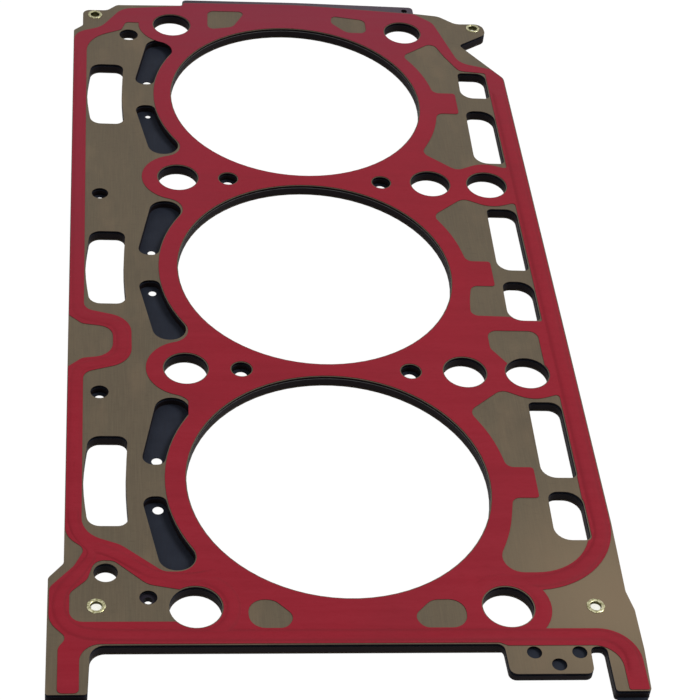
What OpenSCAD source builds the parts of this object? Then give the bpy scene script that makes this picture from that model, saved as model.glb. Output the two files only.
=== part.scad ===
// Cylinder head gasket for one bank of three cylinders, built from steel layers.
// It lies flat on its block side. X runs across the bank, Y along it towards the rear, Z up.
// The origin is on the middle cylinder's axis, at the lowest face.

/* [Cylinders] */
// Diameter of the openings over the cylinders
bore_d = 84.7; // [76:0.1:95]
// Metal left between two openings, at its narrowest
web = 5.3; // [3.8:0.1:8.3]
// Width of the printed ring round each opening
ring_w = 5.9; // [5.2:0.1:6.2]

/* [Sheet] */
// Left edge, from the side of the openings
left_w = 32.95; // [32.15:0.1:35.65]
// Right edge, from the side of the openings
right_w = 32.15; // [31.65:0.1:35.65]
// Front edge, from the front opening
front_w = 15.45; // [14.85:0.1:19.65]
// Rear edge, from the rear opening
rear_w = 15.85; // [15.25:0.1:19.65]
// Length of the two legs at the front
leg_len = 15.6; // [12:0.2:24]
// Width of the left leg
leg_w = 10.4; // [9.4:0.1:12]
// Length of the marker tab at the front
tab_len = 9.9; // [9.3:0.1:12]
// Width of the marker tab
tab_w = 22; // [20:0.5:24]
// How far the core reaches out past the rear edge
rear_lip = 3.2; // [2.6:0.1:5]
// How far the orifice layer reaches out past the leg ends
leg_lip = 2; // [0.5:0.1:4]

/* [Stack] */
// Thickness of the outer seal layers
seal_t = 0.3; // [0.2:0.05:0.4]
// Thickness of the upper inner layer
inner_t = 0.3; // [0.2:0.05:0.4]
// Thickness of the carrier in the middle
carrier_t = 1.4; // [0.8:0.05:2]
// Thickness of the orifice layer
orifice_t = 0.3; // [0.2:0.05:0.4]
// Thickness of the printed seals
print_t = 0.15; // [0.08:0.01:0.2]
// Thickness of the stopper rings
stopper_t = 0.2; // [0.1:0.05:0.3]

/* [Beads] */
// Height of the pressed beads
bead_h = 0.35; // [0.2:0.05:0.4]
// Width of a bead at its foot
bead_w = 2.4; // [2:0.1:2.6]
// Width of a bead at its crest
crest_w = 1; // [0.8:0.1:1.4]
// Radius of the beads round the head bolts
bolt_bead_r = 8.9; // [8.8:0.1:9.2]

/* [Holes] */
// How far the head bolts lie in from the sides of the openings
bolt_in = 1.15; // [0.35:0.1:1.35]
// Diameter of the head bolt holes
bolt_d = 12.8; // [12:0.1:13]
// Diameter of the two front holes, which also take dowels
dowel_d = 13.8; // [13:0.1:14]
// How far the oil holes lie out from the sides of the openings
oil_out = 17.65; // [17.45:0.1:18.15]
// Diameter of the oil holes
oil_d = 13; // [12:0.1:13.2]
// Diameter of the printed bosses round the bolt and oil holes
boss_d = 23.2; // [22.8:0.1:24]
// How far the coolant holes between the cylinders lie in from the openings' sides
vent_in = 17.35; // [16.35:0.1:19.35]
// Diameter of the coolant holes between the cylinders
vent_d = 6; // [5:0.1:7]
// Diameter of the same holes in the orifice layer, which meters their flow
vent_orifice_d = 3.8; // [3:0.1:4.8]
// Diameter of the largest metering holes
metering_d = 3; // [1:0.1:3.4]
// Diameter of the hollow rivets' holes in the layers
rivet_d = 3.8; // [3.6:0.1:4.2]
// Outside diameter of the rivets' flanges
rivet_flange_d = 4.9; // [4.6:0.1:5.4]
// Wall of the hollow rivets
rivet_wall = 0.45; // [0.3:0.05:0.6]
// Bare metal between a hole and the print round it
rim = 0.3; // [0.2:0.05:0.5]

/* [Slots] */
// Outer side of the left slots, from the left edge
left_slot_in = 6.2; // [5.8:0.1:7]
// Width of the left slots
left_slot_w = 10; // [9:0.1:10.6]
// Length of the left slots
left_slot_len = 34; // [30:0.5:36]
// Outer side of the right slots, from the right edge
right_slot_in = 6.3; // [6.1:0.1:7]
// Width of the right slots
right_slot_w = 10.4; // [9:0.1:10.6]
// Width of the printed bands along the left and right edges
band_w = 4.5; // [4:0.1:4.8]

/* [Hidden] */

$fn = 96;
cut = 1;              // how far a cut runs past the face that it opens
arc_error = 0.03;     // how far a short side may lie inside its arc
edge_rim = 0.35;      // bare metal between the print and the sheet's edge
rivet_gap = 0.05;     // between a rivet and the layers' holes
stopper_gap = 0.1;    // between a stopper ring and the bead round it
past_foot = 0.05;     // how far a bead's body runs on past its foot
fillet_bite = 0.02;   // how far a fillet's circle reaches into the discs that it joins
bead_offset = 0.15;   // from the beads' crests to the middle of the web that they meet on

bore_r = bore_d / 2;
ring_r = bore_r + ring_w;
clear = ring_r + rim;
between = bore_r + web / 2;
rear = 2 * between;
front = -rear;
bores = [rear, 0, front];
bore_bead_r = between - bead_offset;
stopper_r = bore_bead_r - bead_w / 2 - stopper_gap;

// The stack, from the block side up
block_sheet_z = print_t;
orifice_z = block_sheet_z + seal_t + bead_h;
carrier_z = orifice_z + orifice_t;
inner_z = carrier_z + carrier_t;
stopper_z = inner_z + inner_t;
head_sheet_z = stopper_z + 2 * bead_h;
head_print_z = head_sheet_z + seal_t;
top_z = head_print_z + print_t;

// The outermost sides of the end openings, and the edges beyond them
front_side = front - bore_r;
rear_side = rear + bore_r;
left_x = bore_r + left_w;
right_x = bore_r + right_w;
edge_y = front_side - front_w;
rear_edge = rear_side + rear_w;
leg_end = edge_y - leg_len;
tab_end = edge_y - tab_len;
tab_x = bore_r - 3.75;
leg_out = left_x + 4;
right_leg_x = right_x - 9.2;
lip_inset = 0.6;
slot_x = right_x - right_slot_in;

// Head bolts: the inner four, then the front pair and the rear pair
bolt_x = bore_r - bolt_in;
oil_x = bore_r + oil_out;
vent_x = bore_r - vent_in;
inner_bolts = [for (x = [-bolt_x, bolt_x], y = [between, -between]) [x, y]];
front_bolts = [for (x = [-bolt_x, bolt_x]) [x, front_side - 2.95]];
rear_bolts = [for (x = [-bolt_x, bolt_x]) [x, rear_side - 0.05]];
beaded_bolts = concat(inner_bolts, rear_bolts);
oil_holes = [[oil_x, between], [oil_x, -between]];
vents = [for (x = [-vent_x, vent_x], y = [between, -between]) [x, y]];

// Small holes: place, diameter, and diameter in the orifice layer
small_holes = [
    [[-left_x + 9.2, between - 9.1], 5.2, 3],
    [[-left_x + 9.2, -between - 10.2], 5.2, 3],
    [[-left_x + 19, rear_side - 6.95], 6.4, 6.4],
    [[-left_x + 10.9, front_side + 8.85], 6.4, 6.4]
];
stepped_hole = [-left_x + 21.9, front_side + 0.35];
stepped_d = 4.7;
marker_d = 4;
markers = [[tab_x + 7.2, edge_y - 2.9], [tab_x + 13.2, edge_y - 6.9], [tab_x + 19.2, edge_y - 2.9]];
rivets = [
    [-left_x + 8.5, edge_y + 12.9], [right_x - 9.7, edge_y + 12.7],
    [-left_x + 7.3, rear_edge - 11], [right_x - 7, rear_edge - 11.3]
];
lip_hole = [right_x - 30.7, rear_edge + 0.3];
lip_hole_d = 2.2;

// Blind slots: the corner of the wide end nearest to the cylinder lies on a tangent of the ring
blind_from = 149;
blind_far = clear * [cos(blind_from), sin(blind_from)] + 9 * [sin(blind_from), -cos(blind_from)];

// Metering holes: cylinder, distance from it along Y, and share of the largest diameter
metering = [
    [rear, 9.9, 0.93], [rear, -8.9, 0.57],
    [0, 10, 0.8], [0, -9, 0.8],
    [front, 9.8, 1], [front, -8.7, 1]
];

// Right slots: cylinder that they lie beside, rear and front end, rounding of the corners
short_slot = [18.6, 3.7];
rear_slot = [-3.8, -33.2];
long_slot = [32.6, 2];
mid_slot = [-3.4, -21.6];
square_end = [1.8, 3.4, 1.7, 4.3];
round_end = [3, 4.9, 1.7, 4.6];
right_slots = [
    [rear, short_slot, square_end], [rear, rear_slot, round_end],
    [0, long_slot, square_end], [0, mid_slot, round_end],
    [front, long_slot, square_end], [front, mid_slot, round_end]
];

// A vector of length 1 in the direction of v.
function unit(v) = v / norm(v);

// The list in the other order.
function reversed(list) = [for (i = [len(list) - 1:-1:0]) list[i]];

// The largest step, in degrees, that keeps an arc's short sides within arc_error of it.
function arc_step(r) = 2 * acos(1 - min(0.5, arc_error / r));

// The points of an arc.
function arc(centre, r, from, turn) =
    let (n = max(2, ceil(abs(turn) / arc_step(r))))
    [for (i = [0:n]) centre + r * [cos(from + turn * i / n), sin(from + turn * i / n)]];

// The corner at b, rounded to the radius b[2] by an arc that touches both sides.
function corner(a, b, c) =
    let (
        p = [b.x, b.y],
        u = unit([a.x, a.y] - p),
        w = unit([c.x, c.y] - p),
        r = b[2],
        half = acos(u * w) / 2,
        centre = p + unit(u + w) * r / sin(half),
        start = p + u * r / tan(half) - centre,
        end = p + w * r / tan(half) - centre,
        from = atan2(start.y, start.x),
        turn = (atan2(end.y, end.x) - from + 540) % 360 - 180
    )
    r > 0 ? arc(centre, r, from, turn) : [p];

// A closed outline through corners of the form [x, y, radius].
function outline(corners) =
    let (n = len(corners))
    [for (i = [0:n - 1]) each corner(corners[(i + n - 1) % n], corners[i], corners[(i + 1) % n])];

// The corner at which two tangents of a circle meet, so that rounding it gives the circle's arc.
function tangent_corner(centre, r, from, to) =
    let (mid = (from + to) / 2, reach = r / cos((to - from) / 2))
    [centre.x + reach * cos(mid), centre.y + reach * sin(mid), r];

// Moves every corner of a list.
function moved(corners, by) = [for (c = corners) [c.x + by.x, c.y + by.y, c[2]]];

// Turns a list of corners upside down, about Y = 0.
function flipped_y(corners) = reversed([for (c = corners) [c.x, -c.y, c[2]]]);

// A flat shape bounded by rounded corners.
module plate(corners) {
    polygon(outline(corners));
}

// Round holes or bosses at a list of places.
module discs(places, d) {
    for (p = places)
        translate(p) circle(d = d);
}

// The hollow between two discs, filled as far as a circle of radius r that touches both.
// side is 1 for the left of the way from a to b, and -1 for its right.
module fillet_between(a, ra, b, rb, r, side) {
    gap = norm(b - a);
    along = (pow(ra + r, 2) - pow(rb + r, 2) + gap * gap) / (2 * gap);
    across = sqrt(pow(ra + r, 2) - along * along);
    u = unit(b - a);
    centre = a + along * u + side * across * [-u.y, u.x];
    difference() {
        polygon([a, b, centre]);
        translate(centre) circle(r = r + fillet_bite);
    }
}

// The end of a leg between two edges. A leg lip is set in from both.
function leg_tip(from, to, lip) =
    lip > 0
    ? [
        [from, leg_end, 0.5],
        [from + lip_inset, leg_end, 0],
        [from + lip_inset, leg_end - lip, 0.8],
        [to - lip_inset, leg_end - lip, 0.8],
        [to - lip_inset, leg_end, 0],
        [to, leg_end, 0.5]
    ]
    : [[from, leg_end, 0.8], [to, leg_end, 0.8]];

// The rear edge between its two steps, as far out as the given lip.
function rear_tip(lip) =
    lip > 0
    ? [
        [right_x - 27.5, rear_edge - 3.2, 0],
        [right_x - 27.5, rear_edge + lip - 0.4, 1.5],
        [4, rear_edge + lip, 300],
        [-left_x + 38.5, rear_edge + lip - 1, 1.5]
    ]
    : [
        [right_x - 27.3, rear_edge - 3.2, 1],
        [4, rear_edge, 160],
        [-left_x + 38.5, rear_edge - 1.4, 1]
    ];

// The sheet that all layers share, with a marker tab, leg lips and a rear lip where asked.
module sheet_outline(tab = true, leg_lip = 0, rear_lip = 0) {
    marker_tab = [
        [tab_x - 0.4, edge_y, 2], [tab_x, tab_end, 2],
        [tab_x + tab_w, tab_end, 2], [tab_x + tab_w + 0.3, edge_y - 1, 1.8]
    ];
    plate(concat(
        leg_tip(-leg_out, -leg_out + leg_w, leg_lip),
        [[-leg_out + leg_w + 0.6, edge_y, 4]],
        tab ? marker_tab : [],
        [[right_leg_x, edge_y - (tab ? 1 : 0), 1.8]],
        leg_tip(right_leg_x, right_x, leg_lip),
        [
            [right_x + 0.7, edge_y - 2.2, 20],
            [right_x + 0.7, edge_y + 11.3, 4],
            [right_x - 0.6, edge_y + 17.8, 4],
            [right_x, edge_y + 42.8, 60],
            [right_x, rear_edge - 42, 4],
            [right_x - 13.5, rear_edge - 22.4, 1.5],
            [right_x - 2.8, rear_edge - 14.8, 3],
            [right_x - 3.3, rear_edge - 8.4, 3.2],
            [right_x - 13.1, rear_edge - 9, 5],
            [right_x - 18.9, rear_edge - 4.3, 5]
        ],
        rear_tip(rear_lip),
        [
            [-left_x + 38, rear_edge - 3.3, 0.8],
            [-left_x + 15, rear_edge - 4.4, 2],
            [-left_x + 11.5, rear_edge - 8, 3],
            [-left_x + 3.1, rear_edge - 8.2, 2.5],
            [-left_x + 3.1, rear_edge - 17.9, 1.2],
            [-left_x, rear_edge - 21, 1.2],
            [-left_x, edge_y + 27.5, 1.5],
            [-leg_out, edge_y + 22.5, 1.5]
        ]
    ));
}

// A left slot: a long kidney whose outer side bulges towards the edge.
module left_slot(y) {
    outer = -left_x + left_slot_in;
    inner = outer + left_slot_w;
    half = left_slot_len / 2;
    plate([
        [outer, y - half, 3.6],
        [inner + 0.9, y - half, 2.8],
        [inner, y, 150],
        [inner + 0.9, y + half, 2.8],
        [outer, y + half, 3.6],
        [outer - 1.9, y, 90]
    ]);
}

// A right slot from one end to the other, with its own rounding at each corner.
module right_slot(y, ends, corners, grow = 0) {
    outer = slot_x + grow;
    inner = outer - right_slot_w - 2 * grow;
    plate([
        [inner + 0.4, y + ends[0] + grow, corners[0]],
        [outer - 0.3, y + ends[0] + grow, corners[1]],
        [outer - 0.4, y + ends[1] - grow, corners[2]],
        [inner, y + ends[1] - grow, corners[3]]
    ]);
}

// One of the two blind slots beside each cylinder, behind the printed ring.
module blind_slot(y, flip) {
    end_r = 4.8;
    corners = [
        [-clear - 6.35, 6, 3],
        [-clear + 0.25, 6, 2.4],
        tangent_corner([0, 0], clear, blind_from, 168),
        [blind_far.x, blind_far.y, end_r],
        [blind_far.x - 12.8, blind_far.y, end_r]
    ];
    plate(moved(flip ? flipped_y(corners) : corners, [0, y]));
}

// All six blind slots.
module blind_slots() {
    for (y = bores, flip = [true, false])
        blind_slot(y, flip);
}

// The metering holes at the narrow ends of the blind slots.
module metering_holes() {
    for (hole = metering)
        translate([-clear - 1.65, hole[0] + hole[1]]) circle(d = metering_d * hole[2]);
}

// The round and long openings that the print keeps clear of by the given distance.
module printed_openings(grow = 0, between_d = vent_d) {
    discs([for (y = bores) [0, y]], bore_d + 2 * grow);
    discs(beaded_bolts, bolt_d + 2 * grow);
    discs(oil_holes, oil_d + 2 * grow);
    discs(front_bolts, dowel_d + 2 * grow);
    discs(vents, between_d + 2 * grow);
    for (slot = right_slots)
        right_slot(slot[0], slot[1], slot[2], grow);
}

// Every opening that goes through the whole stack. Some are narrower where they are metered.
module through_openings(metered = false) {
    printed_openings(between_d = metered ? vent_orifice_d : vent_d);
    for (hole = small_holes)
        translate(hole[0]) circle(d = metered ? hole[2] : hole[1]);
    for (y = bores)
        left_slot(y);
    discs(rivets, rivet_d);
}

// The field inside which the seal is printed. On the head side it runs out onto the marker tab.
module print_field(tab) {
    left = -left_x + 0.2;
    right = right_x - edge_rim;
    leg = leg_end + edge_rim;
    bar = edge_y + edge_rim;
    leg_in = right - 5.35;
    over_tab = [[tab_x - 1.4, bar, 1], [tab_x + 0.6, bar - 1, 1], [leg_in, bar - 1, 7]];
    plate(concat(
        [
            [left, front_side + 21.55, 7],
            [left + 5.3, front_side + 17.15, 2.4],
            [left + 2.5, front_side + 11.15, 5],
            [left - 3.8, front_side + 3.75, 3],
            [left - 3.8, front_side - 7.85, 7],
            [left + 0.9, front_side - 13.05, 2],
            [left - 1.3, front_side - 16.25, 3],
            [left - 1.3, leg, 1.3],
            [left + 4.1, leg, 1.3],
            [left + 4.1, bar, 5.5]
        ],
        tab ? over_tab : [[leg_in, bar, 7]],
        [
            [leg_in, leg, 0.5],
            [right, leg, 0.5],
            [right, front_side - 10.45, 10.5],
            [right - 24.15, front_side - 10.45, 0],
            [right - 24.15, front_side + 2.75, 0],
            [right, front_side + 2.75, 25],
            [right, rear_side - 26.35, 4],
            [right - 3.75, rear_side - 20.95, 1.5],
            [right - 14.55, rear_side - 17.75, 6.5],
            [right - 21.15, rear_side + 6.85, 6],
            [right - 27.35, rear_edge - 3.6, 2],
            [4, rear_edge - edge_rim, 160],
            [left + 38.6, rear_edge - 1.4 - edge_rim, 0.8],
            [left + 38.1, rear_edge - 3.3 - edge_rim, 0.8],
            [left + 16.5, rear_side + 9.15, 7],
            [left + 9.3, rear_side - 2.75, 8],
            [left, rear_side - 6.75, 6]
        ]
    ));
}

// The bare field outside the print's loop on the left edge.
module loop_notch() {
    plate(moved([
        [-2, 24.5, 0],
        [4, 18.8, 3],
        [13.1, 17.4, 4.5],
        [13.1, 5.2, 6],
        [4.1, 3.8, 3],
        [-2, -2, 0]
    ], [-left_x, -between]));
}

// The rings and bosses that bound the long bare field on the left, with their fillets.
module left_rings_and_bosses() {
    for (y = bores)
        translate([0, y]) circle(r = ring_r);
    discs([[-bolt_x, between], [-bolt_x, -between], rear_bolts[0]], boss_d);
    for (y = [between, -between], side = [-1, 1])
        fillet_between([-bolt_x, y], boss_d / 2, [0, y + side * between], ring_r, 5.5, side);
    fillet_between(rear_bolts[0], boss_d / 2, [0, rear], ring_r, 5.5, -1);
}

// The long bare field on the left, which takes in the coolant slots.
module left_window() {
    inner = -left_x + band_w;
    loop = -left_x + 18.5;
    end_y = front - blind_far.y - 0.5;
    difference() {
        plate([
            [inner, rear_side - 10.05, 12],
            [loop - 2, rear_side - 4.05, 1.5],
            [loop - 0.5, rear_side + 0.65, 1.5],
            [-bolt_x - 8.8, rear_side + 0.65, 0],
            [-bore_r + 6, rear_side - 12.35, 0],
            [-bore_r + 0.15, front_side + 21.15, 0],
            [blind_far.x - 1.6, end_y, 5.3],
            [blind_far.x - 12.3, end_y, 4],
            [loop - 3.7, front_side + 18.6, 8],
            [inner, front_side + 22.7, 8],
            [inner, -between - 2.2, 3.5],
            [loop, -between + 2.4, 8],
            [loop, -between + 21.4, 8],
            [inner, -between + 25.4, 3.5]
        ]);
        left_rings_and_bosses();
    }
}

// The bare field in the front left corner, as far as the dowel hole.
module corner_window() {
    plate(moved([
        [1.6, -7.85, 3.5],
        [1.6, 1.85, 2.5],
        [6.1, 6.35, 3],
        [8.1, 13.15, 3.2],
        [13, 12.95, 3],
        [21.8, 4.75, 6],
        [31.3, 2.75, 0],
        [35.3, -2.65, 0],
        [31.3, -7.85, 0]
    ], [-left_x, front_side]));
}

// A bare field on the right of a cylinder, with the printed tongue reaching in from its ring.
// upper and lower bound its ends, and the angles say how far it follows the ring.
module right_window(y, upper, lower, up_angle, low_angle) {
    tongue = 5.9;
    tongue_x = slot_x - right_slot_w - 2.1;
    tongue_angle = 10;
    plate(moved(concat(
        [tangent_corner([0, 0], ring_r, tongue_angle, up_angle)],
        upper,
        lower,
        [
            tangent_corner([0, 0], ring_r, -low_angle, -tongue_angle),
            [ring_r - 0.1, -tongue, 2.5],
            [tongue_x, -tongue, 1],
            [tongue_x, tongue, 1],
            [ring_r - 0.1, tongue, 2.5]
        ]
    ), [0, y]));
}

// The bare fields on the right.
module right_windows() {
    boss_end = [
        [bolt_x - 1, between - 16.6, 3.2],
        [bolt_x + 9.8, between - 7.4, 3.4],
        [oil_x, between - 11.9, 10],
        [slot_x, between - 9, 1]
    ];
    rear_end = [
        [bolt_x - 1.6, bore_r - 14.55, 2.6],
        [bolt_x + 10.2, bore_r - 5.65, 2.5],
        [bolt_x + 13.6, bore_r - 14.35, 6],
        [bolt_x + 17.8, short_slot[0] + 1.1, 3],
        [slot_x, short_slot[0] + 0.1, 1]
    ];
    mid_end = [
        [slot_x, mid_slot[1] - 0.7, 1],
        [slot_x - 10.2, mid_slot[1] + 1.5, 12],
        [bore_r + 3.85, mid_slot[1] + 1.8, 2.4]
    ];
    front_end = [
        [slot_x - 0.7, 8.95 - bore_r, 17],
        [bore_r - 3.3, 8.95 - bore_r, 5.4]
    ];
    right_window(rear, rear_end, flipped_y(boss_end), 32, 32);
    right_window(0, boss_end, mid_end, 32, 18);
    right_window(front, boss_end, front_end, 32, 34);
    plate(moved([
        [-9.8, 18.5, 3],
        [5.8, 18.5, 3],
        [5.8, 3, 0],
        [0, 0, 0],
        [-5.2, 3.5, 0],
        [-9.8, 10.5, 2.5]
    ], [oil_x, -between]));
}

// A small bare island in the front bar, as far out as the given distance.
module front_island(outer) {
    plate(moved([
        [-outer, -0.35, 4.3],
        [-20.8, -0.55, 4],
        [-15.4, -6.25, 3],
        [-18, -10.05, 3],
        [-outer + 0.2, -10.05, 4.3]
    ], [0, front_side]));
}

// The small bare islands in the front and rear bars.
module islands() {
    front_island(27.8);
    mirror([1, 0]) front_island(29.8);
    plate(moved([
        [-28.6, -2.05, 2], [-19.6, -0.15, 3.5], [-14.6, 9.85, 1.6], [-28.2, 9.55, 2.4]
    ], [0, rear_side]));
    plate(moved([
        [28.2, -1.15, 2.4], [21, -1.15, 3.5], [15.8, 4.65, 2.8], [16.4, 9.05, 1.6], [28.2, 7.05, 2.4]
    ], [0, rear_side]));
}

// The whole printed seal, seen from above.
module print_shape(tab) {
    difference() {
        union() {
            print_field(tab);
            translate(front_bolts[1]) circle(d = boss_d);
        }
        loop_notch();
        left_window();
        corner_window();
        right_windows();
        islands();
        printed_openings(rim);
    }
}

// The section of a bead at radius r, from its crest up past its foot.
function bead_section(r) =
    let (lean = (bead_w - crest_w) / 2 / bead_h)
    [
        [r - bead_w / 2 - past_foot * lean, past_foot],
        [r - crest_w / 2, -bead_h],
        [r + crest_w / 2, -bead_h],
        [r + bead_w / 2 + past_foot * lean, past_foot]
    ];

// The bodies of all beads below a sheet whose lower face is at z.
module beads(z) {
    for (y = bores)
        translate([0, y, z]) rotate_extrude() polygon(bead_section(bore_bead_r));
    for (p = beaded_bolts)
        translate([p.x, p.y, z]) rotate_extrude() polygon(bead_section(bolt_bead_r));
}

// A sheet of thickness t with its beads pressed downwards.
module beaded_sheet(t) {
    difference() {
        union() {
            linear_extrude(t) children();
            beads(0);
        }
        beads(t);
    }
}

// A printed seal on a sheet whose face is at z = 0. It fills the beads' grooves in the sheet.
module filled_print(tab) {
    linear_extrude(print_t) print_shape(tab);
    beads(0);
}

// The printed seal on the head side.
module head_seal_print() {
    color("#8c2630") translate([0, 0, head_print_z]) filled_print(tab = true);
}

// The olive sheet on the head side.
module head_seal_layer() {
    color("#665c4a") translate([0, 0, head_sheet_z]) beaded_sheet(seal_t)
        difference() {
            sheet_outline();
            through_openings();
            blind_slots();
            translate(stepped_hole) circle(d = stepped_d);
            discs(markers, marker_d);
        }
}

// The dark beaded sheet under it, whose beads meet those above crest to crest.
module upper_inner_layer() {
    color("#22242b") translate([0, 0, stopper_z]) mirror([0, 0, 1]) beaded_sheet(inner_t)
        difference() {
            sheet_outline();
            through_openings();
            blind_slots();
            translate(stepped_hole) circle(d = stepped_d);
        }
}

// A flat ring beside a cylinder's edge, which limits how far the beads are pressed.
module stopper_ring(y) {
    color("#8f9092") translate([0, y, stopper_z]) difference() {
        cylinder(r = stopper_r, h = stopper_t);
        translate([0, 0, -cut]) cylinder(r = bore_r, h = stopper_t + 2 * cut);
    }
}

module stopper_ring_rear() { stopper_ring(rear); }
module stopper_ring_middle() { stopper_ring(0); }
module stopper_ring_front() { stopper_ring(front); }

// The thick flat core, with its lip and lip hole at the rear.
module carrier_layer() {
    color("#17191d") translate([0, 0, carrier_z]) linear_extrude(carrier_t)
        difference() {
            sheet_outline(rear_lip = rear_lip);
            through_openings();
            blind_slots();
            translate(stepped_hole) circle(d = stepped_d / 2);
            translate(lip_hole) circle(d = lip_hole_d);
        }
}

// The sheet that closes the blind slots but for their metering holes, and shows at the leg ends.
module orifice_layer() {
    color("#2c2f3a") translate([0, 0, orifice_z]) linear_extrude(orifice_t)
        difference() {
            sheet_outline(tab = false, leg_lip = leg_lip);
            through_openings(metered = true);
            metering_holes();
            translate(stepped_hole) circle(d = stepped_d / 2);
        }
}

// The olive sheet on the block side, with its beads pressed upwards.
module block_seal_layer() {
    color("#665c4a") translate([0, 0, block_sheet_z + seal_t]) mirror([0, 0, 1]) beaded_sheet(seal_t)
        difference() {
            sheet_outline(tab = false);
            through_openings();
            blind_slots();
            translate(stepped_hole) circle(d = stepped_d);
        }
}

// The printed seal on the block side.
module block_seal_print() {
    color("#8c2630") translate([0, 0, print_t]) mirror([0, 0, 1]) filled_print(tab = false);
}

// A hollow rivet with a flange on each face of the stack.
module rivet(place) {
    shank_r = rivet_d / 2 - rivet_gap;
    color("#c2c08a") translate(place) difference() {
        union() {
            cylinder(r = shank_r, h = top_z);
            cylinder(d = rivet_flange_d, h = print_t);
            translate([0, 0, head_print_z]) cylinder(d = rivet_flange_d, h = print_t);
        }
        translate([0, 0, -cut]) cylinder(r = shank_r - rivet_wall, h = top_z + 2 * cut);
    }
}

module rivet_front_left() { rivet(rivets[0]); }
module rivet_front_right() { rivet(rivets[1]); }
module rivet_rear_left() { rivet(rivets[2]); }
module rivet_rear_right() { rivet(rivets[3]); }

head_seal_print();
head_seal_layer();
upper_inner_layer();
stopper_ring_rear();
stopper_ring_middle();
stopper_ring_front();
carrier_layer();
orifice_layer();
block_seal_layer();
block_seal_print();
rivet_front_left();
rivet_front_right();
rivet_rear_left();
rivet_rear_right();
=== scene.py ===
# %% [markdown]
# A cylinder head gasket of the multi-layer steel kind: thin pressed sheets on a dark core, held
# together by four hollow rivets, with a red seal printed on both faces. The sheets come from the
# solid model. This lesson gives them their finishes, and makes the small things that are too fine
# for the solids: the rolled heads of the rivets and the soft swell of the beads under the print.

import math

import bpy
import numpy as np
from mathutils import Matrix, Vector
from mathutils.bvhtree import BVHTree


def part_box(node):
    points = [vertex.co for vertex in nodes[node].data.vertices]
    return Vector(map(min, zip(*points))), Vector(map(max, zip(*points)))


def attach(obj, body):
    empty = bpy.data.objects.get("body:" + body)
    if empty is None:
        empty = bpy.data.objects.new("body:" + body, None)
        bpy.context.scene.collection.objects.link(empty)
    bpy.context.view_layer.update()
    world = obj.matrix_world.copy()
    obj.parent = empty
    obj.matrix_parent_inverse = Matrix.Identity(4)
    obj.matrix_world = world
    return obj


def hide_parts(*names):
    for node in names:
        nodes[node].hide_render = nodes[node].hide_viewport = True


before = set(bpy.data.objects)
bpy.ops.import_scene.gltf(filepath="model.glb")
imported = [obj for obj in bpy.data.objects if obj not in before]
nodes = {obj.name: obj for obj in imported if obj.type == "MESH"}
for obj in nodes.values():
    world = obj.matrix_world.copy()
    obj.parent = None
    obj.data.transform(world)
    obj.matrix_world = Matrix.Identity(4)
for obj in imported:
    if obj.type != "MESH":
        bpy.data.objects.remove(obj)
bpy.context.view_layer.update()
MM = 0.001  # one millimetre in metres, Blender's unit

# %% [markdown]
# The camera comes first, because every later choice is judged through it. It stands in front of the
# gasket's narrow end and looks down at it, turned and rolled a little. A camera could also be aimed
# by a constraint, but three plain turns say more: roll about its own axis, then tilt, then turn
# about the vertical. A small helper puts any new object into the scene.


# %% Camera
def placed(name, data):
    """Makes an object that shows the given data, and links it into the scene."""
    thing = bpy.data.objects.new(name, data)
    bpy.context.scene.collection.objects.link(thing)
    return thing


CAMERA_AT = (-72.9 * MM, -484.7 * MM, 415.25 * MM)
TURN, LOOK_DOWN, ROLL = -10.18, 42.07, 7.71  # degrees
FOCAL_LENGTH, FRAME_WIDTH = 106.43, 36  # mm
lens = bpy.data.cameras.new("camera")
lens.lens = FOCAL_LENGTH
lens.sensor_width = FRAME_WIDTH
lens.clip_start = 10 * MM
camera = placed("camera", lens)
turned = Matrix.Rotation(math.radians(TURN), 4, "Z")
tilted = Matrix.Rotation(math.radians(90 - LOOK_DOWN), 4, "X")
rolled = Matrix.Rotation(math.radians(ROLL), 4, "Z")
camera.matrix_world = Matrix.Translation(CAMERA_AT) @ turned @ tilted @ rolled
bpy.context.scene.camera = camera
print("camera looks down by", LOOK_DOWN, "degrees through a", FOCAL_LENGTH, "mm lens")

# %% [markdown]
# Three small helpers serve every finish. Colours are written as sRGB hex, as a paint chart gives
# them, and one function turns them to the linear values that shaders use. Another adds a node, sets
# its properties, and links or fills its sockets, so that each finish reads as a short recipe. The
# third starts a finish.


# %% Helpers for colours and nodes
def linear(hex_colour):
    """An sRGB hex colour as linear RGBA. Near black a channel is divided by 12.92, and elsewhere it
    is raised to the power 2.4 after a small shift."""
    s = np.array([int(hex_colour[i : i + 2], 16) for i in (1, 3, 5)]) / 255
    rgb = np.where(s <= 0.04045, s / 12.92, ((s + 0.055) / 1.055) ** 2.4)
    return (*rgb.tolist(), 1.0)


def add(tree, kind, sockets=None, **settings):
    """Adds a node. sockets maps an input's name or index to a value or to another node's output."""
    node = tree.nodes.new(kind)
    for name, value in settings.items():
        setattr(node, name, value)
    for key, value in (sockets or {}).items():
        if isinstance(value, bpy.types.NodeSocket):
            tree.links.new(value, node.inputs[key])
        else:
            node.inputs[key].default_value = value
    return node


def new_finish(name):
    """An empty material, its node tree, and the object coordinates that its patterns use."""
    material = bpy.data.materials.new(name)
    material.use_nodes = True
    tree = material.node_tree
    tree.nodes.clear()
    return material, tree, add(tree, "ShaderNodeTexCoord").outputs["Object"]


print("mid grey in linear light:", [round(v, 3) for v in linear("#808080")[:3]])

# %% [markdown]
# The cut edges of every sheet, the walls of its holes and of its outline, are painted dark as
# shade, while its faces keep their colour. Painting each edge by hand would be one way, but the
# surface's own normal already tells the two apart: it is level on an edge and upright on a face.


# %% Faces, and painted shade on their cut edges
EDGE_TO_FACE = (0.45, 0.75)  # height of the normal where an edge ends and where a face begins


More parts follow.
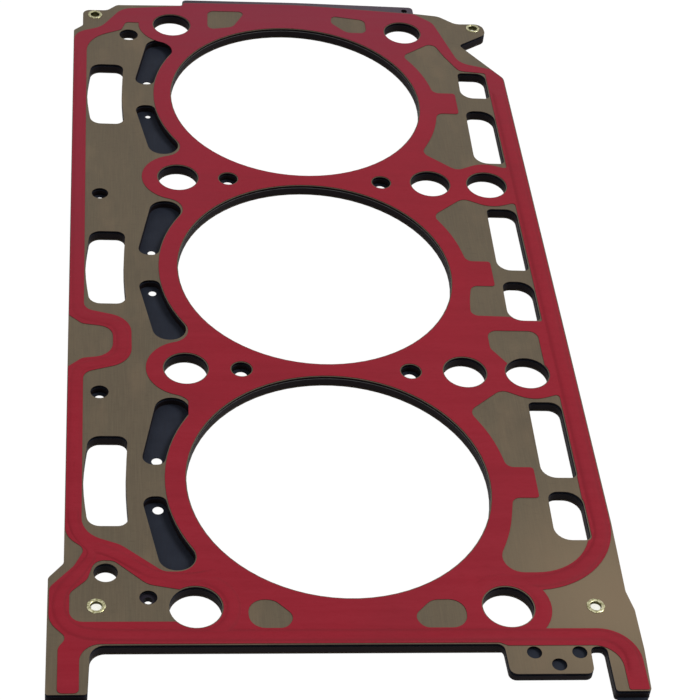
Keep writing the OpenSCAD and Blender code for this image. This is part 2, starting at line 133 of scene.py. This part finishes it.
def level_share(tree, low, high, least=0.0, most=1.0):
    """How level a surface is: the normal's height, ramped from least at low to most at high."""
    normal = add(tree, "ShaderNodeNewGeometry").outputs["Normal"]
    height = add(tree, "ShaderNodeSeparateXYZ", {0: normal}).outputs["Z"]
    level = add(tree, "ShaderNodeMath", {0: height}, operation="ABSOLUTE").outputs[0]
    ramp = {"Value": level, "From Min": low, "From Max": high, "To Min": least, "To Max": most}
    return add(tree, "ShaderNodeMapRange", ramp).outputs["Result"]


def with_wall_shade(tree, tone, edge):
    """Keeps a colour on faces and puts another on the cut edges, the walls, as painted shade."""
    sockets = {0: level_share(tree, *EDGE_TO_FACE), 6: linear(edge), 7: tone}
    return add(tree, "ShaderNodeMix", sockets, data_type="RGBA").outputs[2]


print("faces are told from edges by the normal's height:", EDGE_TO_FACE)

# %% [markdown]
# No real coat has one flat colour. A pattern is noise that is stretched along one axis and cut to
# the range that matters, a patch is one soft spot, and washes are thin colours laid over a base one
# after another, each as strongly as its pattern or patch says. An image texture could do the same,
# but a worked-out pattern has the same sharpness all over and needs no unwrapping.


# %% Patterns, patches and washes
EVEN = (1, 1, 1)


def pattern(tree, at, size_mm, stretch, most, window=(0.35, 0.7), least=0.0):
    """Noise with features of about size_mm, longer by stretch along X, Y and Z. The part of it
    inside the window runs from least to most."""
    shrink = tuple(1 / times for times in stretch)
    stretched = add(tree, "ShaderNodeMapping", {"Vector": at, "Scale": shrink}).outputs[0]
    look = {"Vector": stretched, "Scale": 1 / (size_mm * MM), "Detail": 3.0, "Roughness": 0.55}
    noise = add(tree, "ShaderNodeTexNoise", look).outputs["Fac"]
    cut = {"Value": noise, "From Min": window[0], "From Max": window[1]}
    cut.update({"To Min": least, "To Max": most})
    return add(tree, "ShaderNodeMapRange", cut).outputs["Result"]


def patch(tree, at, centre_mm, reach_mm, most):
    """A soft patch: most at its centre, and nothing at a distance of reach_mm from there."""
    ends = {0: at, 1: [c * MM for c in centre_mm]}
    away = add(tree, "ShaderNodeVectorMath", ends, operation="DISTANCE").outputs["Value"]
    fade = {"Value": away, "From Min": 0.0, "From Max": reach_mm * MM}
    fade.update({"To Min": most, "To Max": 0.0})
    return add(tree, "ShaderNodeMapRange", fade, interpolation_type="SMOOTHSTEP").outputs["Result"]


def washes(tree, base, *layers):
    """Lays colours over a base in turn. Each layer is a share, 0 to 1, and the colour it adds."""
    tone = linear(base)
    for share, colour in layers:
        sockets = {0: share, 6: tone, 7: linear(colour)}
        tone = add(tree, "ShaderNodeMix", sockets, data_type="RGBA").outputs[2]
    return tone


def finished(tree, look):
    """Closes a finish: one Principled shader with the given look, joined to the output."""
    shader = add(tree, "ShaderNodeBsdfPrincipled", look)
    add(tree, "ShaderNodeOutputMaterial", {"Surface": shader.outputs[0]})


print("noise scale of a 5 mm pattern:", 1 / (5 * MM))

# %% [markdown]
# The seal is silicone rubber, screen printed as a thin film, here 0.15 mm. A squeegee draws the ink
# across the sheet, which leaves faint bands, and the cured film has a fine skin like that of an
# orange. Up close it is a dull satin red. The bands are 2.5 mm apart and the skin is 0.6 mm, drawn
# coarser than the real 0.1 mm so that it shows. Where the film tilts, on the sides of the ribs, a
# deeper red is painted as shade. Two wide patches are painted light and shade: a greyer red at the
# rear is a painted sheen, and a duller red on the left is painted shade.

# %% Screen-printed silicone
silicone, tree, at = new_finish("screen_printed_silicone")
skin = pattern(tree, at, 0.6, EVEN, 1.0, (0.3, 0.7))
# painted shade: tilted parts of the film, such as the sides of the ribs, get a deeper red
level = level_share(tree, 0.955, 1.0)
slope_shade = add(tree, "ShaderNodeMath", {0: 1.0, 1: level}, operation="SUBTRACT").outputs[0]
tone = washes(
    tree,
    "#7e1725",
    (pattern(tree, at, 26, EVEN, 0.7), "#891626"),
    (pattern(tree, at, 2.5, (14, 1, 1), 0.5), "#8b222f"),
    (pattern(tree, at, 0.8, (3, 1, 1), 0.4, (0.5, 0.75)), "#7a111e"),
    # painted sheen: a greyer red towards the rear
    (patch(tree, at, (0, 190, 4), 170, 0.85), "#73283a"),
    # painted shade: a duller red on the left
    (patch(tree, at, (-95, 40, 4), 100, 0.6), "#772232"),
    (slope_shade, "#600c17"),
)
relief = add(tree, "ShaderNodeBump", {"Height": skin, "Strength": 0.25, "Distance": 0.02 * MM})
finished(
    tree,
    {
        # the second colour is painted shade on the film's cut walls
        "Base Color": with_wall_shade(tree, tone, "#2a0c12"),
        "Roughness": pattern(tree, at, 2.5, (14, 1, 1), 0.62, least=0.52),
        "Specular IOR Level": 0.13,
        "Normal": relief.outputs[0],
    },
)
print("silicone film:", len(tree.nodes), "nodes")

# %% [markdown]
# The outer sheets are spring steel, rolled to 0.3 mm and coated with a thin see-through rubber film
# that turns the metal olive. The rolling grain shows through it as fine lengthwise lines. Real
# grain is about 0.05 mm wide. It is drawn 0.35 mm wide and 30 times as long, so that it shows, with
# soft clouds of coating thickness over it. A paler patch at the front right corner is a painted
# sheen.

# %% Coated spring steel
coated, tree, at = new_finish("coated_spring_steel")
GRAIN_MM, GRAIN_LINES = 0.35, (1, 30, 1)
grain = pattern(tree, at, GRAIN_MM, GRAIN_LINES, 1.0, (0.4, 0.75))
tone = washes(
    tree,
    "#564c3e",
    (pattern(tree, at, 34, EVEN, 0.8), "#5f5444"),
    (pattern(tree, at, 3, (1, 20, 1), 0.5), "#564e40"),
    (pattern(tree, at, GRAIN_MM, GRAIN_LINES, 0.35, (0.4, 0.75)), "#6e6350"),
    (pattern(tree, at, 0.6, (3, 1, 1), 0.35, (0.55, 0.8)), "#483f33"),
    # painted sheen: a paler patch at the front right corner
    (patch(tree, at, (70, -132, 4), 52, 0.7), "#7d6c56"),
    (pattern(tree, at, 9, (1, 2, 1), 0.3, (0.5, 0.7)), "#73624e"),
)
relief = add(tree, "ShaderNodeBump", {"Height": grain, "Strength": 0.15, "Distance": 0.01 * MM})
finished(
    tree,
    {
        # the second colour is painted shade on the sheet's cut walls
        "Base Color": with_wall_shade(tree, tone, "#221a1c"),
        "Metallic": 0.2,
        "Roughness": pattern(tree, at, GRAIN_MM, GRAIN_LINES, 0.6, (0.3, 0.7), 0.48),
        "Specular IOR Level": level_share(tree, *EDGE_TO_FACE, 0.05, 0.15),
        "Normal": relief.outputs[0],
    },
)
print("coated steel:", len(tree.nodes), "nodes")

# %% [markdown]
# The inner sheets and the core have a harder, blue-black coat. It shows only where the sheet above
# is cut away: in the blind slots, in the markers' holes, at the lips and on every wall. Both
# finishes come from one recipe, because they differ only in tone. The core also gets a paler grey
# towards the rear, a painted sheen where its lip shows.


# %% Blue-black coated steel
def blue_black(name, face, light, edge, rear_sheen):
    """Coated steel with a cloudy, faintly grained dark face and painted shade on its cut edges. The
    last argument is how strongly a paler grey sheen is painted at the rear, over the core's lip,
    from 0 to 1."""
    material, tree, at = new_finish(name)
    tone = washes(
        tree,
        face,
        (pattern(tree, at, 5, EVEN, 0.6), light),
        # painted sheen: a paler grey at the rear, seen on the core's lip
        (patch(tree, at, (20, 151, 2.5), 110, rear_sheen), "#6c5f69"),
        (pattern(tree, at, 0.5, (1, 12, 1), 0.2), edge),
    )
    look = {
        # the edge colour is painted shade on the cut walls
        "Base Color": with_wall_shade(tree, tone, edge),
        "Roughness": 0.6,
        "Specular IOR Level": level_share(tree, *EDGE_TO_FACE, 0.05, 0.09),
    }
    finished(tree, look)
    return material


# the last number is the share of painted rear sheen: none on the inner sheets, half on the core
inner_coat = blue_black("blue_black_coated_steel", "#1e222c", "#252933", "#1a1417", 0.0)
core_coat = blue_black("black_coated_core_steel", "#1f1c24", "#2a2631", "#191416", 0.5)
print("dark finishes:", inner_coat.name, core_coat.name)

# %% [markdown]
# The rivets are tube rivets, zinc plated and passivated, which gives a pale greenish yellow metal.
# The mouth of the tube's bore is a darker zinc, painted shade under the rolled rim, and the rest of
# it is a bright, nearly white zinc. The stopper rings are dull stainless steel. All are true
# metals, so they take their colour from what they reflect.


# %% Bare and plated metal
WORN = 0.1


def metal(name, low, high, size_mm, roughness):
    """A metal whose colour drifts between two tones over patches of a given size. Its roughness
    drifts with it, up by WORN."""
    material, tree, at = new_finish(name)
    tone = washes(tree, low, (pattern(tree, at, size_mm, EVEN, 1.0), high))
    rough = pattern(tree, at, size_mm, EVEN, roughness + WORN, least=roughness)
    finished(tree, {"Base Color": tone, "Metallic": 1.0, "Roughness": rough})
    return material


zinc = metal("yellow_passivated_zinc", "#7c7952", "#d0ccab", 0.6, 0.25)
# painted shade: a darker zinc for the mouth of each bore, under its rim
painted_shade_zinc = metal("painted_shade_zinc", "#3a3822", "#5c5838", 0.7, 0.4)
polished = metal("polished_zinc", "#efeee2", "#f8f8f2", 1.0, 0.08)
stainless = metal("dull_stainless_steel", "#434345", "#505051", 3, 0.45)
print("metals:", zinc.name, painted_shade_zinc.name, polished.name, stainless.name)

# %% [markdown]
# The sheets and rings of the solid model already have the real shape, with their beads and holes.
# They could be traced anew, but it is surer to keep their meshes and give them a finish only.

# %% Dress the sheets
FINISH_OF = {
    "head_seal_print": silicone,
    "block_seal_print": silicone,
    "head_seal_layer": coated,
    "block_seal_layer": coated,
    "upper_inner_layer": inner_coat,
    "orifice_layer": inner_coat,
    "carrier_layer": core_coat,
    "stopper_ring_rear": stainless,
    "stopper_ring_middle": stainless,
    "stopper_ring_front": stainless,
}
for name, finish in FINISH_OF.items():
    mesh = nodes[name].data
    if not mesh.materials:
        mesh.materials.append(None)
    for i in range(len(mesh.materials)):
        mesh.materials[i] = finish
print("dressed", len(FINISH_OF), "sheets and rings")

# %% [markdown]
# New surfaces are grids: one parameter runs along the piece and the other round its section. A grid
# that closes on itself needs no caps, and an open one gets a face over each end. A curve with a
# bevel could do this too, but a grid lets the section change on its way. The function joins the
# grid's points into quads with whole-array arithmetic.


# %% A mesh from a grid of points
CREASE = 30  # degrees


def grid_piece(name, points, finish, wrap_rows=True):
    """Joins points[row, column] into quads. Columns always wrap round, and rows do where asked.
    Edges sharper than CREASE stay crisp, and the rest is shaded smooth."""
    rows, columns = points.shape[:2]
    index = np.arange(rows * columns).reshape(rows, columns)
    last = rows if wrap_rows else rows - 1
    here = index[:last]
    ahead = np.roll(index, -1, axis=0)[:last]
    corners = [here, ahead, np.roll(ahead, -1, axis=1), np.roll(here, -1, axis=1)]
    faces = np.stack(corners, axis=-1).reshape(-1, 4).tolist()
    if not wrap_rows:
        faces += [index[0].tolist(), index[-1][::-1].tolist()]
    mesh = bpy.data.meshes.new(name)
    mesh.from_pydata(points.reshape(-1, 3).tolist(), [], faces)
    mesh.materials.append(finish)
    mesh.shade_smooth()
    mesh.set_sharp_from_angle(angle=math.radians(CREASE))
    return placed(name, mesh)


print("creases sharper than", CREASE, "degrees stay crisp")

# %% [markdown]
# A tube rivet is set by rolling its ends outwards, which leaves a rounded ring on each face of the
# gasket. The section is a closed profile of two half ellipses, the rolls, joined by the shank on
# the outside and the bore on the inside. Blender's Spin could carry it round, but a grid is as
# short and keeps the faces in a known order.


# %% Section of a set rivet
BORE, SHANK, RIM = 1.55, 1.84, 2.45  # radii in mm
ROLL_HIGH, RIM_THICK, HEAD_THICK = 0.13, 0.12, 0.15  # mm, the last at the shank


def rivet_section(low, high, mouth):
    """The closed profile of a set tube rivet, in mm, between rims at the heights low and high. It
    runs over the upper roll, down the shank, round the lower roll and up the bore, with a stop at
    the depth mouth, where the painted shade of the bore's mouth ends. A roll is the half ellipse
    middle + half * cos(angle), high + ROLL_HIGH * sin(angle). The points come in the other order,
    so faces point outwards."""
    angles = np.linspace(math.pi, 0, 13)
    middle, half = (BORE + RIM) / 2, (RIM - BORE) / 2
    over = np.stack([middle + half * np.cos(angles), high + ROLL_HIGH * np.sin(angles)], 1)
    under = np.stack([over[::-1, 0], low - ROLL_HIGH * np.sin(angles)], 1)
    upper_neck = [[RIM, high - RIM_THICK], [SHANK, high - HEAD_THICK]]
    lower_neck = [[SHANK, low + HEAD_THICK], [RIM, low + RIM_THICK]]
    mouth_end = [[BORE, high - mouth]]
    return np.concatenate([over, upper_neck, lower_neck, under, mouth_end])[::-1]


print("points in a rivet's section:", len(rivet_section(0.0, 4.0, 1.0)))

# %% [markdown]
# The rolled ring splits and ripples a little as it is set, so its rim has shallow lobes. Two waves
# of different count make them uneven, as on the real one. A bump in the material would not change
# the rim's outline, so the waves move the points themselves. How deep the bore is painted dark as
# shade differs from rivet to rivet.


# %% Rivets
LOBES = ((7, 0.05, 0), (11, 0.03, 1))  # count round the rim, height in mm, start in radians
LOBES_FROM, LOBES_FULL = 1.65, 2.4  # radii in mm where the lobes begin and where they are full
RIM_ABOVE_FOOT, RIM_BELOW_TOP = 0.12, 0.05  # mm from the lowest and highest point of the node
MOUTH_FROM = 0.1  # mm below the top, where the bore begins


def rivet(name, node, mouth):
    """Carries the section round the rivet's axis. Lobes move its points outwards by the sum of
    height * cos(count * angle + start), times a share that grows with the distance from the axis.
    The bore is painted dark as shade down to the depth of mouth, in mm."""
    low, high = (np.array(c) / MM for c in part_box(node))
    centre = (low + high)[:2] / 2
    section = rivet_section(low[2] + RIM_ABOVE_FOOT, high[2] - RIM_BELOW_TOP, mouth)
    angle = np.linspace(0, 2 * math.pi, 72, endpoint=False)[:, None]
    share = np.clip((section[:, 0] - LOBES_FROM) / (LOBES_FULL - LOBES_FROM), 0, 1)
    r = section[:, 0] + share * sum(up * np.cos(n * angle + start) for n, up, start in LOBES)
    z = np.broadcast_to(section[:, 1], r.shape)
    points = np.stack([centre[0] + r * np.cos(angle), centre[1] + r * np.sin(angle), z], -1)
    piece = grid_piece(name, points * MM, zinc)
    piece.data.materials.append(painted_shade_zinc)
    piece.data.materials.append(polished)
    faces = piece.data.polygons
    middles = np.empty(3 * len(faces))
    faces.foreach_get("center", middles)
    x, y, z = middles.reshape(-1, 3).T / MM
    depth = high[2] - z
    in_bore = (np.hypot(x - centre[0], y - centre[1]) < BORE) & (depth > MOUTH_FROM)
    # the bore's mouth takes the darker zinc as painted shade, and below it the bright zinc
    which = np.where(in_bore, np.where(depth < mouth, 1, 2), 0)
    faces.foreach_set("material_index", which.astype(np.int32))
    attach(piece, "root")
    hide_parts(node)
    return piece


# depth in mm to which each bore is painted dark as shade
SHADE_DOWN_TO = {"front_left": 1.0, "front_right": 1.0, "rear_left": 2.4, "rear_right": 1.8}
for corner, mouth in SHADE_DOWN_TO.items():
    made = rivet("set_rivet_" + corner, "rivet_" + corner, mouth)
    print(made.name, "faces:", len(made.data.polygons))

# %% [markdown]
# Away from the cylinders the print covers low pressed ribs that run along the middle of its bands.
# Their paths are drawn with few points and then rounded by cutting the corners. A spline through
# the points would be as smooth, but it can swing past them, and a cut corner never does.


# %% Paths of the ribs
def rounded(path):
    """Cuts the corners of a path four times: each span keeps its middle half, and the ends stay
    put. Then the points are spaced evenly, 1 mm apart. Gives them and how far along each one is."""
    points = np.array(path, float)
    for _ in range(4):
        a, b = points[:-1], points[1:]
        cut = np.stack([0.75 * a + 0.25 * b, 0.25 * a + 0.75 * b], 1).reshape(-1, 2)
        points = np.concatenate([points[:1], cut, points[-1:]])
    steps = np.linalg.norm(np.diff(points, axis=0), axis=1)
    gone = np.concatenate([[0], np.cumsum(steps)])
    even = np.linspace(0, gone[-1], round(gone[-1]) + 1)
    return np.stack([np.interp(even, gone, points[:, k]) for k in (0, 1)], 1), even


def bow(centre, r, start, turn):
    """Points on part of a circle: centre + r * (cos, sin) of start to start + turn, in degrees."""
    angles = np.radians(start + np.linspace(0, turn, 13))
    return [(centre[0] + r * math.cos(a), centre[1] + r * math.sin(a)) for a in angles]


print("a square corner becomes", len(rounded([(0, 10), (0, 0), (10, 0)])[1]), "points")

# %% [markdown]
# A rib is under the film, so its swell never passes the film's edge. The edge could be copied from
# the drawing, but the film's own mesh is surer: rays dropped beside the path hit the film or miss
# it, and the first miss is the edge.


# %% Reach of the film beside a path
MARGIN = 0.25  # bare film in mm between a rib's side and the film's edge
FIRST_RAY, RAY_STEP, LEAST_REACH = 0.2, 0.1, 0.05  # mm
NEIGHBOURS = 9
print_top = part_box("head_seal_print")[1][2] / MM
printed = nodes["head_seal_print"]
corners = [printed.matrix_world @ vertex.co for vertex in printed.data.vertices]
film = BVHTree.FromPolygons(corners, [face.vertices for face in printed.data.polygons])


def film_reach(middle, aside, most):
    """How far the film goes on beside each point, in mm, less a margin and up to most. The least
    reach of nine neighbours counts, and nine of these are averaged, which keeps the side smooth."""
    reach = np.full(len(middle), most)
    for i, (at, way) in enumerate(zip(middle, aside)):
        for far in np.arange(FIRST_RAY, most + MARGIN, RAY_STEP):
            x, y = (at + far * way) * MM
            if film.ray_cast((x, y, 1), (0, 0, -1))[0] is None:
                reach[i] = max(far - MARGIN, LEAST_REACH)
                break
    windows = np.lib.stride_tricks.sliding_window_view
    least = windows(np.pad(reach, NEIGHBOURS - 1, mode="edge"), NEIGHBOURS).min(axis=1)
    return windows(least, NEIGHBOURS).mean(axis=1)


print("top of the film at", round(print_top, 2), "mm")

# %% [markdown]
# The ribs swell the film by a fraction of a millimetre, which shows as a soft bright crown between
# two darker sides, helped by the painted shade that the silicone finish puts where the film tilts.
# Each is a low hill with a flat top, carried along its path. It is a shell of its own that rests in
# the film, because the solid's mesh is not changed, and it wears the same finish.


# %% One rib
SUNK, SHELL = 0.008, 0.03  # mm from the film's top down to a rib's sides, and on to its floor
FADE = 5  # mm at each end


def rib(name, path, half_width, height):
    """A hill along a path. Its height is height * (1 + cos(pi * u * u)) / 2 at a share u of the
    way to its side. It is lower where the film is narrow, and fades out at its ends as
    (1 - cos(pi * share of FADE)) / 2."""
    middle, gone = rounded(path)
    ahead = np.gradient(middle, axis=0)
    ahead /= np.linalg.norm(ahead, axis=1, keepdims=True)
    aside = np.stack([-ahead[:, 1], ahead[:, 0]], 1)
    left, right = film_reach(middle, aside, half_width), film_reach(middle, -aside, half_width)
    fade = np.clip(np.minimum(gone, gone[-1] - gone) / FADE, 0, 1)
    fade = (1 - np.cos(math.pi * fade)) / 2 * np.minimum(left, right) / half_width
    u = np.linspace(-1, 1, 17)
    hill = height * (1 + np.cos(math.pi * u * u)) / 2
    top = print_top - SUNK
    off = np.where(u > 0, left[:, None], right[:, None]) * u
    xy = middle[:, None, :] + off[..., None] * aside[:, None, :]
    z = top + fade[:, None] * hill[None, :]
    upper = np.concatenate([xy, z[..., None]], -1)
    under = upper[:, ::-1].copy()
    under[..., 2] = top - SHELL
    piece = grid_piece(name, np.concatenate([upper, under], 1) * MM, silicone, wrap_rows=False)
    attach(piece, "root")
    return piece


print("a rib's sides lie", SUNK, "mm under the film's top")

# %% [markdown]
# Six ribs follow the bands of the print: down the left edge with its loop, along the front and into
# the right leg, across the front left corner, down the right edge, and round each front bolt hole.
# The paths could come from a curve drawn by hand in Blender, but as numbers they keep to the same
# millimetres as the solids.

# %% The six ribs
# Each has its half width, its height and its path, all in mm.
RIBS = {
    "left_band": (2.1, 0.12, [
        (-73, 119), (-73, -19), (-71, -23), (-62, -25), (-59.4, -29), (-59.4, -38), (-62, -42),
        (-71, -44.3), (-73, -49), (-73, -104),
    ]),
    "front_band": (2.3, 0.2, [
        (-73, -98), (-73, -108), (-71, -113), (-67.5, -116.5), (-70.5, -123), (-76, -130),
        (-76.3, -138), (-72, -144), (-60, -144.9), (56, -144.9),
        *bow((63.4, -153.1), 8.2, 90, -90), (71.6, -160),
    ]),
    "inner_band": (2.4, 0.22, [
        (-70, -114.5), (-65, -115.5), (-60, -119), (-52, -124.2), (-42, -125.3), (-34, -124),
    ]),
    "right_band": (2.6, 0.2, [
        (71.2, 100), (71.2, -100), *bow((49.1, -104.6), 22.1, 0, -90), (44, -126.7),
    ]),
    "front_left_bolt": (2.2, 0.15, bow((-41.2, -135.3), 9.9, 95, -180)),
    "front_right_bolt": (2.0, 0.1, bow((41.2, -135.3), 9.7, 150, -190)),
}
for name, (half_width, height, path) in RIBS.items():
    made = rib("rib_" + name, path, half_width, height)
    print(made.name, "faces:", len(made.data.polygons))

# %% [markdown]
# The gasket lies on white paper. Strong lamps would whiten the paper, but they would also bleach
# the gasket. So the paper is grey to the light that bounces off it, and where the camera or a
# reflection sees it, most of it glows. It then looks white and still takes a soft shadow.


# %% White floor
FLOOR_REACH, FLOOR_DROP = 3.0, 1e-4  # metres from the middle, and below the gasket
GLOW_SHARE, GLOW_STRENGTH = 0.88, 1.13  # the grey under it gives back what is missing to white


def looked_at(tree):
    """1 for rays from the camera, a reflection or through a clear surface, and 0 for the rest."""
    ray = add(tree, "ShaderNodeLightPath").outputs
    first = {0: ray["Is Camera Ray"], 1: ray["Is Glossy Ray"]}
    either = add(tree, "ShaderNodeMath", first, operation="MAXIMUM").outputs[0]
    both = {0: either, 1: ray["Is Transmission Ray"]}
    return add(tree, "ShaderNodeMath", both, operation="MAXIMUM").outputs[0]


floor_mesh = bpy.data.meshes.new("floor")
signs = ((-1, -1), (1, -1), (1, 1), (-1, 1))
ground = [(x * FLOOR_REACH, y * FLOOR_REACH, -FLOOR_DROP) for x, y in signs]
floor_mesh.from_pydata(ground, [], [(0, 1, 2, 3)])
floor = placed("floor", floor_mesh)
paper, tree, _ = new_finish("white_paper")
glowing = {0: looked_at(tree), 1: GLOW_SHARE}
share = add(tree, "ShaderNodeMath", glowing, operation="MULTIPLY").outputs[0]
matte = add(tree, "ShaderNodeBsdfDiffuse", {"Color": linear("#a0a0a0")}).outputs[0]
white = {"Color": linear("#ffffff"), "Strength": GLOW_STRENGTH}
glow = add(tree, "ShaderNodeEmission", white).outputs[0]
blend = add(tree, "ShaderNodeMixShader", {0: share, 1: matte, 2: glow})
add(tree, "ShaderNodeOutputMaterial", {"Surface": blend.outputs[0]})
floor_mesh.materials.append(paper)
print("floor:", 2 * FLOOR_REACH, "m wide")

# %% [markdown]
# The sky is a plain white that is dim as a light and full where it is looked at, by the same rays
# as the floor. Two large square lamps do the rest: the key lamp high on the right gives the faces
# their level light, and a faint fill from the front left opens the shadows on the walls. Small
# lamps would give hard shadows that a studio avoids.


# %% Sky and lamps
SKY_AS_LIGHT, SKY_SEEN = 0.36, 1.0
world = bpy.data.worlds.new("studio")
world.use_nodes = True
tree = world.node_tree
tree.nodes.clear()
dimming = {"Value": looked_at(tree), "To Min": SKY_AS_LIGHT, "To Max": SKY_SEEN}
strength = add(tree, "ShaderNodeMapRange", dimming).outputs["Result"]
sky = add(tree, "ShaderNodeBackground", {"Color": linear("#ffffff"), "Strength": strength})
add(tree, "ShaderNodeOutputWorld", {"Surface": sky.outputs[0]})
bpy.context.scene.world = world


def lamp(name, at_mm, size_mm, power):
    """A square area lamp that hangs at a point and faces the gasket's middle. Its own Z axis
    points away from the middle, because a lamp shines along its minus Z."""
    light = bpy.data.lights.new(name, "AREA")
    light.energy = power
    light.size = size_mm * MM
    place = Vector(at_mm) * MM
    facing = place.to_track_quat("Z", "Y").to_matrix().to_4x4()
    hung = placed(name, light)
    hung.matrix_world = Matrix.Translation(place) @ facing
    return hung


key = lamp("key", (1800, 150, 2500), 1000, 68)
fill = lamp("fill", (-900, -500, 1100), 900, 4)
print("lamps:", key.name, "and", fill.name)

# %% [markdown]
# The Standard view shows a colour as it was written, which a filmic view would soften.

# %% View
bpy.context.scene.view_settings.view_transform = "Standard"
